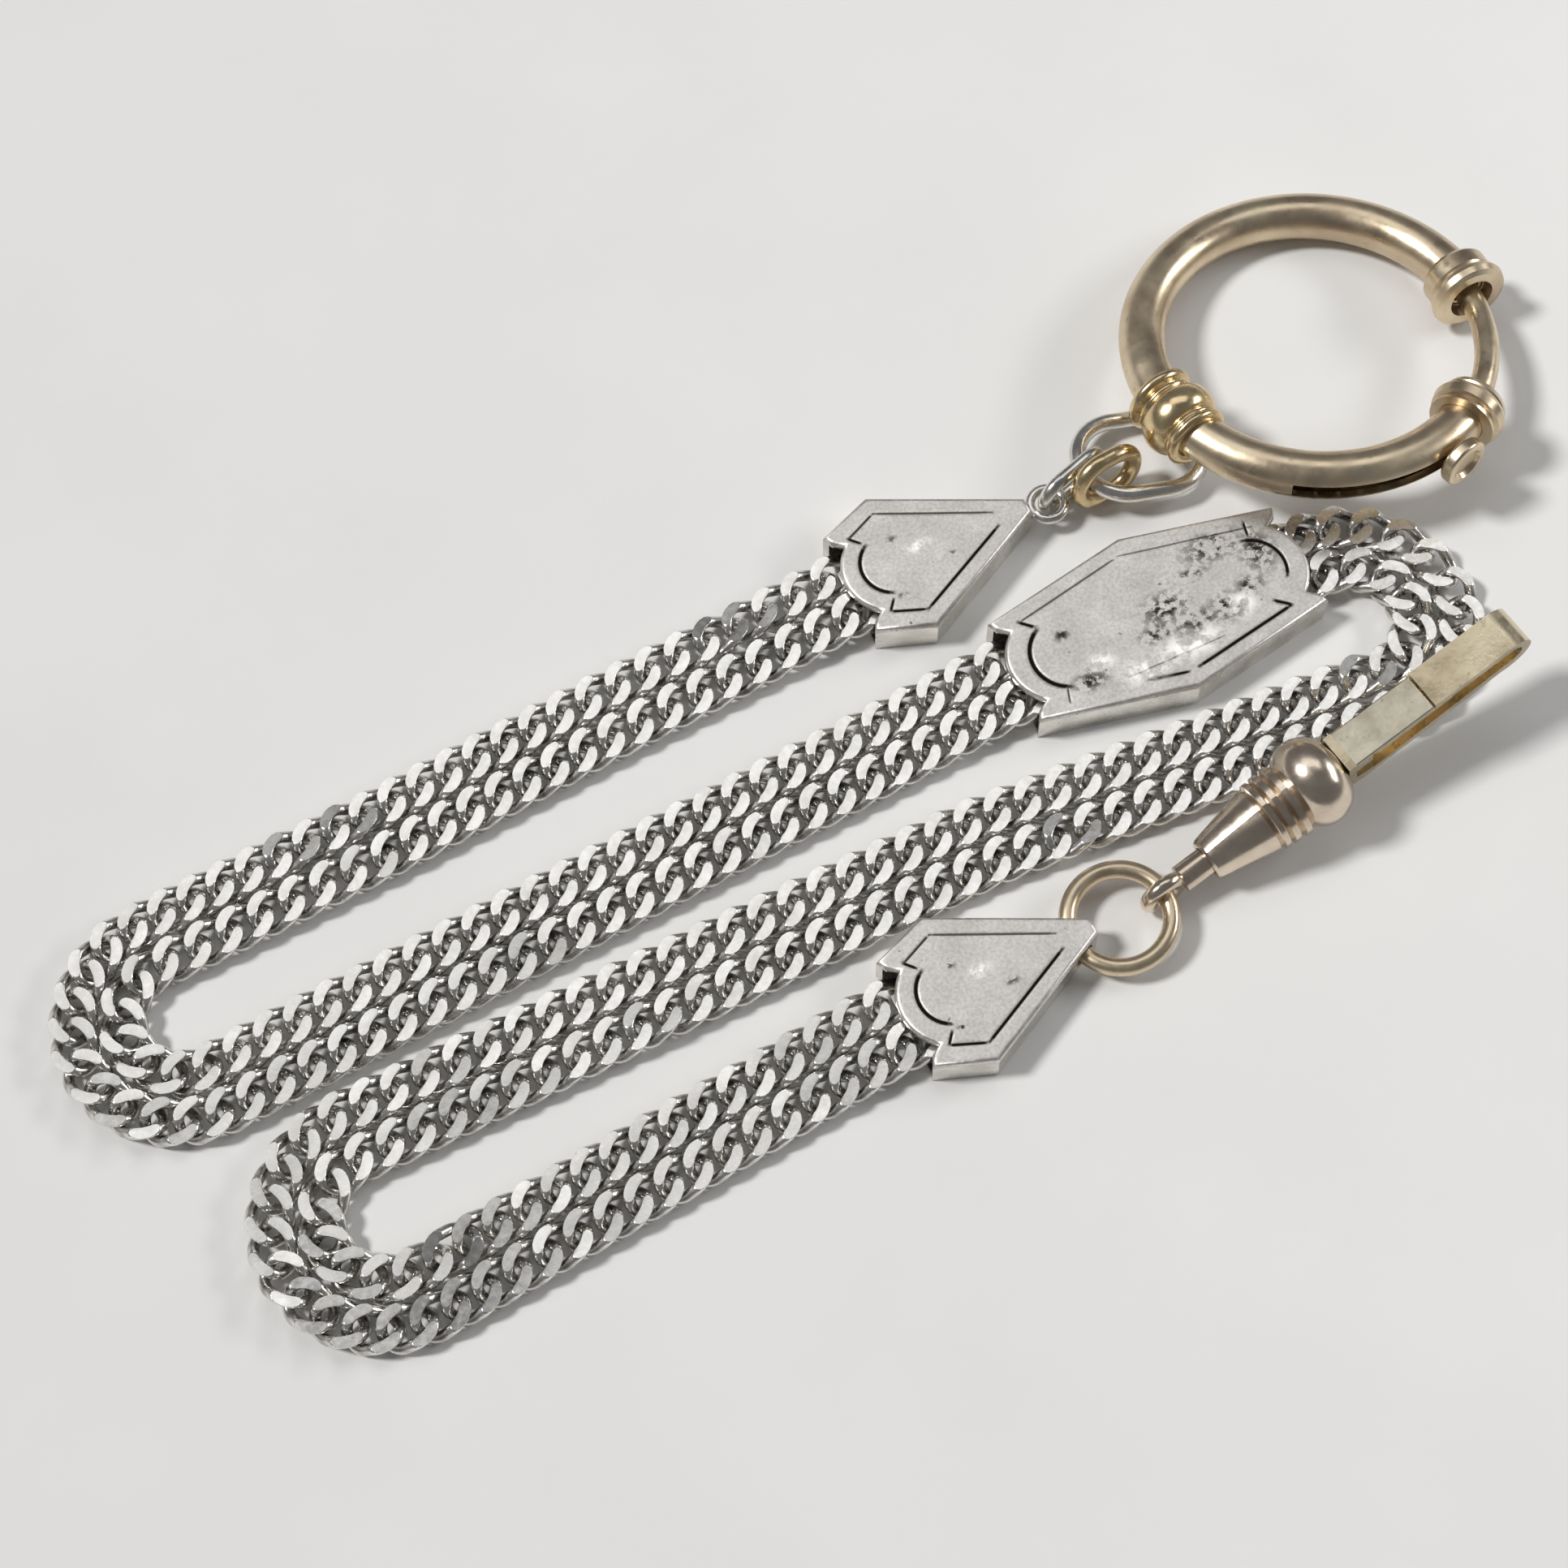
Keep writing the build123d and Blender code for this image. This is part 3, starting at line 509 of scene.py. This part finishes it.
def distance_to(points, line):
    """Distance from each point to a polyline, and how far along it the nearest place is, 0 to 1."""
    line = np.array(line, dtype=float)
    best = np.full(len(points), np.inf)
    along = np.zeros(len(points))
    lengths = np.linalg.norm(np.diff(line, axis=0), axis=1)
    total = lengths.sum()
    done = 0.0
    for a, b, length in zip(line[:-1], line[1:], lengths):
        share = np.clip(((points - a) @ (b - a)) / length**2, 0, 1)
        gap = np.linalg.norm(points - (a + share[:, None] * (b - a)), axis=1)
        closer = gap < best
        best[closer] = gap[closer]
        along[closer] = (done + share[closer] * length) / total
        done += length
    return best, along


def inside(points, closed):
    """Which points lie inside a closed polyline."""
    result = np.zeros(len(points), dtype=bool)
    for (x1, y1), (x2, y2) in zip(closed[:-1], closed[1:]):
        crosses = (y1 > points[:, 1]) != (y2 > points[:, 1])
        slope = (x2 - x1) / (y2 - y1 if y2 != y1 else 1e-9)
        result ^= crosses & (points[:, 0] < (points[:, 1] - y1) * slope + x1)
    return result


def cut_rows(line, width):
    """Rows of points along a cut: its bottom, its walls and just outside it."""
    line = np.array(line)
    steps = []
    for a, b in zip(line[:-1], line[1:]):
        pieces = max(2, int(np.linalg.norm(b - a) / CUT_STEP))
        steps += [a + (b - a) * k / pieces for k in range(pieces)]
    steps = np.array(steps + [line[-1]])
    heading = np.gradient(steps, axis=0)
    heading /= np.linalg.norm(heading, axis=1)[:, None]
    normal = np.c_[-heading[:, 1], heading[:, 0]]
    return [steps + normal * width * row for row in CUT_ROWS]


def skin_plan(edge, rim, cuts):
    """The skin's points and triangles in plan: a grid inside the rim that gives way to the cuts' rows."""
    low, high = edge.min(0), edge.max(0)
    xs, ys = np.meshgrid(np.arange(low[0], high[0], GRID), np.arange(low[1], high[1], GRID))
    grid = np.c_[xs.ravel(), ys.ravel()]
    grid[:, 0] += rng.uniform(-GRID_PLAY, GRID_PLAY, len(grid))
    for line, width, _ in cuts:
        keep = distance_to(grid, line)[0] > width * CUT_CLEAR
        grid = np.concatenate([grid[keep]] + cut_rows(line, width))
    closed = np.vstack([rim, rim[:1]])
    grid = grid[inside(grid, closed) & (distance_to(grid, closed)[0] > RIM_CLEAR)]
    plan = [Vector(point) for point in np.concatenate([rim, grid])]
    edges = [(k, (k + 1) % len(rim)) for k in range(len(rim))]
    points, _, faces, _, _, _ = geometry.delaunay_2d_cdt(plan, edges, [], 1, 1e-6)
    return np.array([(p.x, p.y) for p in points]), [list(face) for face in faces]


def skin_relief(top, rim, cuts):
    """Each point's height, with the cuts sunk and the flat slightly uneven, and how dark its cut is."""
    height = np.full(len(top), PLATE_TOP + FACE_PROUD)
    dark = np.zeros(len(top))
    for line, width, depth in cuts:
        gap, along = distance_to(top, line)
        fade = np.clip(np.minimum(along, 1 - along) / CUT_FADE, 0.25, 1)
        profile = np.clip(1 - gap / width, 0, 1) * fade
        height -= depth * CUT_SHARE * profile
        dark = np.maximum(dark, np.clip(profile * 6, 0, 1) * min(1.0, 0.45 + depth * 9))
    x, y = top.T
    sway = np.sin(x * 1.1 + 0.7) * np.cos(y * 0.9) + 0.6 * np.sin(x * 2.3 + y * 1.7)
    from_rim = distance_to(top, np.vstack([rim, rim[:1]]))[0]
    height += SWAY * sway * np.clip(from_rim / SWAY_FROM_RIM, 0, 1)
    return height, dark


def patches(points, ovals):
    """How deep each point lies in any oval, 0 to 1; an oval is a centre and two half widths."""
    value = np.zeros(len(points))
    for x, y, half_x, half_y in ovals:
        reach = np.hypot((points[:, 0] - x) / half_x, (points[:, 1] - y) / half_y)
        value = np.maximum(value, np.clip(1.35 - reach, 0, 1))
    return value


def engraved_face(name, node, outline, origin, yaw, cuts, tarnish, rubbed):
    """A plate's top skin with rounded edges and real engraved cuts, as a closed thin solid."""
    rims = [inset(outline, distance) for distance in ROUND_LEVELS]
    count = len(outline)
    top, polygons = skin_plan(rims[0], rims[-1], cuts)
    height, dark = skin_relief(top, rims[-1], cuts)
    vertices = [(x, y, z) for (x, y), z in zip(top, height)]
    rows = []
    for rim, distance in zip(rims[:-1], ROUND_LEVELS[:-1]):
        share = 1 - distance / ROUND_IN
        drop = FACE_SKIRT * (1 - math.sqrt(max(0.0, 1 - share**2)))
        rows.append([len(vertices) + k for k in range(count)])
        vertices += [(x, y, PLATE_TOP + FACE_PROUD - drop) for x, y in rim]
    rows.insert(0, [len(vertices) + k for k in range(count)])
    vertices += [(x, y, PLATE_TOP - FACE_SKIRT - SKIRT_HEM) for x, y in rims[2]]
    rows.append([int(((top - point) ** 2).sum(1).argmin()) for point in rims[-1]])
    for lower, upper in zip(rows[:-1], rows[1:]):
        for k in range(count):
            n = (k + 1) % count
            polygons.append([lower[k], lower[n], upper[n], upper[k]])
    polygons.append(rows[0][::-1])
    wear_and_shade = np.c_[dark, patches(top, tarnish), patches(top, rubbed)]
    wear_and_shade = np.concatenate([wear_and_shade, np.zeros((len(vertices) - len(top), 3))])
    place = Matrix.Translation(origin) @ Matrix.Rotation(math.radians(yaw), 4, "Z")
    placed = [place @ (Vector(v) * MM) for v in vertices]
    piece = make_object(name, placed, polygons, FACE, wear_and_shade, [len(polygons) - 1])
    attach(piece, BODY_OF[node])


# A cut is its line on the face, its half width and its depth.
MIDDLE_CUTS = [
    ([(-7.4, 2.6), (-0.9, 3.95)], 0.07, 0.035),
    ([(-0.5, 4.05), (7.2, 2.6)], 0.06, 0.025),
    ([(-7.4, 2.6), (-6.75, 2.0)], 0.12, 0.08),
    (arc_through((-6.75, 1.75), (-7.85, -0.2), (-6.55, -2.15)), 0.16, 0.13),
    ([(-7.0, -3.0), (-6.75, -2.2)], 0.07, 0.04),
    ([(-2.4, -3.6), (-0.2, -4.05)], 0.10, 0.07),
    ([(0.5, -4.0), (6.9, -2.75)], 0.12, 0.08),
    ([(6.95, -2.7), (6.2, -2.1)], 0.12, 0.09),
    (arc_through((6.3, 2.0), (7.85, 0.5), (7.6, -1.0)), 0.13, 0.10),
    ([(6.9, 3.0), (6.75, 2.2)], 0.09, 0.06),
    ([(-3.4, -3.0), (2.6, -2.9)], 0.05, 0.012),
]
MIDDLE_TARNISH = [
    (0.4, 0.0, 1.5, 1.0), (1.7, -1.4, 1.6, 0.7), (-0.6, -1.2, 1.2, 0.6), (4.6, 2.4, 1.9, 0.9),
    (6.8, 1.1, 1.1, 1.3), (5.4, -0.6, 0.9, 0.6), (-5.4, -2.3, 1.1, 0.6), (3.6, -1.3, 1.0, 0.9),
    (-5.6, 0.9, 0.5, 0.4), (2.6, 1.3, 1.1, 0.4),
]
MIDDLE_RUBBED = [
    (0.7, -2.6, 2.2, 0.9), (-2.2, -2.9, 1.6, 0.9), (4.5, -1.5, 0.9, 0.8), (-4.4, -1.5, 0.9, 0.5),
]

SHIELD_CUTS = [
    ([(1.25, 2.55), (3.2, 3.4)], 0.08, 0.05),
    ([(3.2, 3.4), (9.3, 0.45)], 0.08, 0.04),
    ([(3.3, -3.4), (9.2, -0.5)], 0.11, 0.07),
    ([(1.3, -2.6), (3.1, -3.35)], 0.10, 0.07),
    (arc_through((1.85, 1.7), (0.95, 0.1), (1.95, -1.6)), 0.14, 0.11),
    ([(1.25, 2.55), (1.75, 2.0)], 0.10, 0.07),
    ([(1.35, -2.55), (1.8, -2.0)], 0.10, 0.06),
]
SHIELD_TARNISH = [(3.4, 1.4, 0.35, 0.25), (6.0, -0.9, 0.4, 0.2), (2.4, -2.0, 0.3, 0.2)]
SHIELD_RUBBED = [(4.6, 0.4, 0.8, 0.4)]


def shield_origin(node):
    """The middle of a shield's chain end, on the floor."""
    low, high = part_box(node)
    return Vector((high[0] - SHIELD_LENGTH * MM, (low[1] + high[1]) / 2, 0))


for shield in ("shield_1", "shield_2"):
    engraved_face(
        f"{shield}_face", f"{shield}_cover", SHIELD_OUTLINE, shield_origin(f"{shield}_cover"), 0,
        SHIELD_CUTS, SHIELD_TARNISH, SHIELD_RUBBED,
    )
middle_low, middle_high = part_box("middle_plate_cover")
middle_centre = Vector(
    ((middle_low[0] + middle_high[0]) / 2, (middle_low[1] + middle_high[1]) / 2, 0)
)
engraved_face(
    "middle_plate_face", "middle_plate_cover", MIDDLE_OUTLINE, middle_centre, MIDDLE_YAW,
    MIDDLE_CUTS, MIDDLE_TARNISH, MIDDLE_RUBBED,
)


# ---- the bolt ring's beaded sleeve ---------------------------------------------------------
LAYOUT = Vector((-4.66, -0.43, 0))
RING_CENTRE = Vector((39.29, 10.22, 2.98)) + LAYOUT
RING_TILT = math.radians(9.5)
RING_TILT_YAW = math.radians(19.4)
RING_LEAN = (
    Matrix.Rotation(-RING_TILT_YAW, 3, "Z") @ Matrix.Rotation(-RING_TILT, 3, "X")
    @ Matrix.Rotation(RING_TILT_YAW, 3, "Z")
)
RING_R = 9.91
SLEEVE_ANGLE = math.radians(187)
SLEEVE_BORE = 1.25
SLEEVE_GROOVE = 1.66
SLEEVE_BACK, SLEEVE_FRONT = -2.0, 2.1
SLEEVE_STEPS = 90
SLEEVE_SIDES = 72
# A bead's middle along the sleeve, its half length and its height over the grooves.
SLEEVE_BEADS = [
    (-1.6, 0.38, 0.44), (-0.95, 0.2, 0.2), (0.25, 1.0, 0.62), (1.45, 0.18, 0.2), (1.82, 0.26, 0.28),
]


def beaded_sleeve():
    """A turned sleeve of rounded beads with narrow grooves between them."""
    profile = [(SLEEVE_BACK, SLEEVE_BORE)]
    for along in np.linspace(SLEEVE_BACK, SLEEVE_FRONT, SLEEVE_STEPS):
        rise = max(
            height * math.sqrt(max(0.0, 1 - ((along - middle) / half) ** 2))
            for middle, half, height in SLEEVE_BEADS
        )
        profile.append((along, SLEEVE_GROOVE + rise))
    profile.append((SLEEVE_FRONT, SLEEVE_BORE))
    outward = RING_LEAN @ Vector((math.cos(SLEEVE_ANGLE), math.sin(SLEEVE_ANGLE), 0))
    across = RING_LEAN @ Vector((0, 0, 1))
    tangent = across.cross(outward)
    centre = RING_CENTRE + outward * RING_R
    vertices = []
    for along, radius in profile:
        for k in range(SLEEVE_SIDES):
            angle = 2 * math.pi * k / SLEEVE_SIDES
            spoke = outward * math.cos(angle) + across * math.sin(angle)
            vertices.append((centre + tangent * along + spoke * radius) * MM)
    faces = tube_faces(len(profile), SLEEVE_SIDES)
    piece = make_object("ring_sleeve_beads", vertices, faces, RICH_GOLD)
    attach(piece, BODY_OF["ring_sleeve"])
    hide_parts("ring_sleeve")


beaded_sleeve()


# ---- the flat strap over the hook's tongue -------------------------------------------------
JUMP_TILT = math.radians(4)
JUMP_R = 2.8
JUMP_FROM = Vector((9.65, -15.7, 1.1)) + LAYOUT
JUMP_TURN = Matrix.Rotation(-JUMP_TILT, 3, "Y")
SWIVEL_FROM = (
    JUMP_FROM + JUMP_TURN @ Vector((JUMP_R, 0, 0))
    + JUMP_TURN @ Vector((JUMP_R * math.cos(JUMP_TILT), JUMP_R * math.sin(JUMP_TILT), 0))
)
SWIVEL_YAW = math.radians(8.5)
SWIVEL_PITCH = math.radians(11.5)
SWIVEL_TURN = Matrix.Rotation(SWIVEL_YAW, 3, "Z") @ Matrix.Rotation(-SWIVEL_PITCH, 3, "Y")
TONGUE_Z = 0.815
STRAP_HALF = 1.12
STRAP_EDGE = 0.06
STRAP_EASE = 0.05
STRAP_SIDE = [
    (11.78, 0.51), (13.4, 0.51), (13.45, 0.17), (17.42, 0.17), (17.45, 0.3), (17.4, 0.55), (11.9, 0.56),
]


def tongue_strap():
    """The tongue's visible face: a plain strap from the bead to the hook's nose, edges eased."""
    vertices = []
    for side, edge in ((-1, 0.0), (-1, STRAP_EDGE), (1, STRAP_EDGE), (1, 0.0)):
        for x, z in STRAP_SIDE:
            ease = STRAP_EASE if edge == 0.0 and z > 0.5 else 0.0
            point = Vector((x, side * (STRAP_HALF - edge), TONGUE_Z + z - ease))
            vertices.append((SWIVEL_FROM + SWIVEL_TURN @ point) * MM)
    count = len(STRAP_SIDE)
    faces = [list(range(count)), list(range(3 * count, 4 * count))[::-1]]
    for row in range(3):
        for k in range(count):
            n = (k + 1) % count
            faces.append([row * count + k, (row + 1) * count + k, (row + 1) * count + n, row * count + n])
    piece = make_object("hook_tongue_strap", vertices, faces, STRAP, flat=list(range(len(faces))))
    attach(piece, BODY_OF["hook_tongue"])


tongue_strap()


# ---- materials of the pieces kept from the model -------------------------------------------
KEPT = {
    "cover": SIDE, "base": SIDE, "posts": STEEL,
    "tip_eye": LINK_SILVER, "tip_link": LINK_SILVER, "oval_link": LINK_SILVER,
    "ring_tube": GOLD, "mouth_collar": GOLD, "bolt_collar": GOLD, "sliding_bolt": GOLD, "thumb_knob": GOLD,
    "ring_sleeve": RICH_GOLD, "ring_eye": RICH_GOLD, "jump_ring": GOLD,
    "swivel_eye": PINK_GOLD, "swivel_barrel": PINK_GOLD,
    "hook_bar": DULL_BRASS, "hook_tongue": DULL_BRASS, "tongue_pin": STEEL,
    "spring_stop": STEEL, "bolt_spring": STEEL,
}
for name, node in frame["nodes"].items():
    for ending, material in KEPT.items():
        if name.endswith(ending):
            node.data.materials.clear()
            node.data.materials.append(material)


# ---- floor, light and camera ---------------------------------------------------------------
FLOOR_HALF = 2
FLOOR_DROP = 0.02
WORLD_TONE = (0.30, 0.30, 0.31)
WORLD_STRENGTH = 0.5


def pale_card():
    """Warm white card with the faintest clouding."""
    material, tree, shader = new_material("floor_card")
    shader.inputs["Metallic"].default_value = 0.0
    shader.inputs["Roughness"].default_value = 0.7
    tone = ramp(tree, noise(tree, 60), [(0.3, (0.80, 0.79, 0.77)), (0.7, (0.83, 0.82, 0.80))])
    tree.links.new(tone, shader.inputs["Base Color"])
    return material


def add_lamp(name, light, place, direction):
    lamp = bpy.data.objects.new(name, light)
    lamp.location = place
    lamp.rotation_euler = Vector(direction).to_track_quat("-Z", "Y").to_euler()
    bpy.context.scene.collection.objects.link(lamp)


def softbox(name, place, size, power):
    """A rectangular lamp that faces the middle of the chain."""
    light = bpy.data.lights.new(name, "AREA")
    light.shape = "RECTANGLE"
    light.size, light.size_y = size
    light.energy = power
    add_lamp(name, light, place, -Vector(place))


def soft_sun(name, direction, strength, spread):
    """An even light over the whole floor; spread is the width of its shadows' edges in degrees."""
    light = bpy.data.lights.new(name, "SUN")
    light.energy = strength
    light.angle = math.radians(spread)
    add_lamp(name, light, (0, 0, 0), direction)


floor_corners = [(x * FLOOR_HALF, y * FLOOR_HALF, 0) for x, y in ((-1, -1), (1, -1), (1, 1), (-1, 1))]
floor = make_object("floor", floor_corners, [(0, 1, 2, 3)], pale_card())
floor.location.z = -FLOOR_DROP * MM

world = bpy.data.worlds.new("studio")
world.use_nodes = True
world.node_tree.nodes["Background"].inputs["Color"].default_value = (*WORLD_TONE, 1)
world.node_tree.nodes["Background"].inputs["Strength"].default_value = WORLD_STRENGTH
bpy.context.scene.world = world

softbox("overhead", (0.085, 0.17, 0.41), (0.40, 0.20), 0.25)
soft_sun("key", (0.26, -0.14, -0.36), 2.2, 11)
softbox("side", (0.36, -0.06, 0.20), (0.22, 0.06), 0.5)

EYE_POINT = Vector((-28.724, -63.344, 156.216)) + LAYOUT
ROLL = math.radians(-2.0)
LENS = 70.807
SENSOR = 36
forward = (LAYOUT - EYE_POINT).normalized()
right = forward.cross(Vector((0, 0, 1))).normalized()
up = right.cross(forward)
camera_x = math.cos(ROLL) * right + math.sin(ROLL) * up
camera_y = -math.sin(ROLL) * right + math.cos(ROLL) * up
lens = bpy.data.cameras.new("camera")
lens.sensor_width = SENSOR
lens.lens = LENS
lens.clip_start = 0.01
camera = bpy.data.objects.new("camera", lens)
turn = Matrix((camera_x, camera_y, -forward)).transposed().to_4x4()
camera.matrix_world = Matrix.Translation(EYE_POINT * MM) @ turn
bpy.context.scene.collection.objects.link(camera)
bpy.context.scene.camera = camera
bpy.context.scene.view_settings.view_transform = "Standard"
